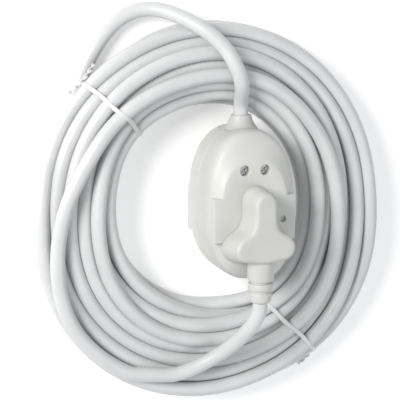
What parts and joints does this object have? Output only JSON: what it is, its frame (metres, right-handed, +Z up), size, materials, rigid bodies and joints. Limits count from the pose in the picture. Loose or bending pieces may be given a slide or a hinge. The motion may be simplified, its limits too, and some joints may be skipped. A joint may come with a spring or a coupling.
{
  "type": "extension cord",
  "caption": "Coiled white extension cord: a double-faced three-pin socket coupler with its own moulded plug parked in the front face, and round flex tied in a ring.",
  "frame": {"origin": "middle of the coupler's rear face, which rests on the floor", "axes": "+Z up, out of the coupler's front face; +Y towards its cord neck; +X to the line side"},
  "size_m": [0.222, 0.252, 0.0701],
  "materials": {
    "cover_white": "satin, fine moulded grain",
    "plug_white": "satin, fine moulded grain",
    "relief_white": "satin flexible PVC",
    "cord_white": "satin extruded PVC",
    "tie_white": "satin flat tie",
    "carrier_cream": "matte moulded",
    "shutter_white": "matte moulded",
    "bridge_white": "matte moulded",
    "brass": "drawn, unlacquered",
    "steel": "zinc plated",
    "core_brown": "extruded PVC",
    "core_blue": "extruded PVC",
    "core_green_yellow": "extruded PVC, green and yellow"
  },
  "bodies": {
    "coupler": {"front_cover": "cover_white", "rear_cover": "cover_white", "cover_screws": "steel", "carrier_front": "carrier_cream", "carrier_rear": "carrier_cream", "earth_contact": "brass", "line_contact": "brass", "neutral_contact": "brass", "terminal_screws": "steel", "front_shutter": "shutter_white", "front_shutter_spring": "steel", "rear_shutter_spring": "steel", "cord_clamp": "cover_white", "clamp_screws": "steel", "neck_sleeve": "relief_white", "cord_end": "cord_white", "line_core": "core_brown", "neutral_core": "core_blue", "earth_core": "core_green_yellow", "lead_to_coupler": "cord_white", "cord_coil": "cord_white", "lead_to_plug": "cord_white", "twist_tie_upper": "tie_white", "twist_tie_lower": "tie_white"},
    "plug": {"plug_body": "plug_white", "plug_bridge": "bridge_white", "earth_pin": "brass", "line_pin": "brass", "neutral_pin": "brass", "plug_strain_relief": "relief_white", "plug_cord_end": "cord_white", "plug_line_core": "core_brown", "plug_neutral_core": "core_blue", "plug_earth_core": "core_green_yellow"},
    "rear_shutter_body": {"rear_shutter": "shutter_white"}
  },
  "joints": [
    {"name": "plug_pull", "type": "slide", "parent": "coupler", "child": "plug", "axis": [0, 0, 1], "range_m": [0, 0.032]},
    {"name": "rear_shutter_slide", "type": "slide", "parent": "coupler", "child": "rear_shutter_body", "axis": [0, -1, 0], "range_m": [0, 0.0084], "stiffness_N_per_m": 150, "springref_m": -0.004, "deforming": ["rear_shutter_spring"]}
  ]
}
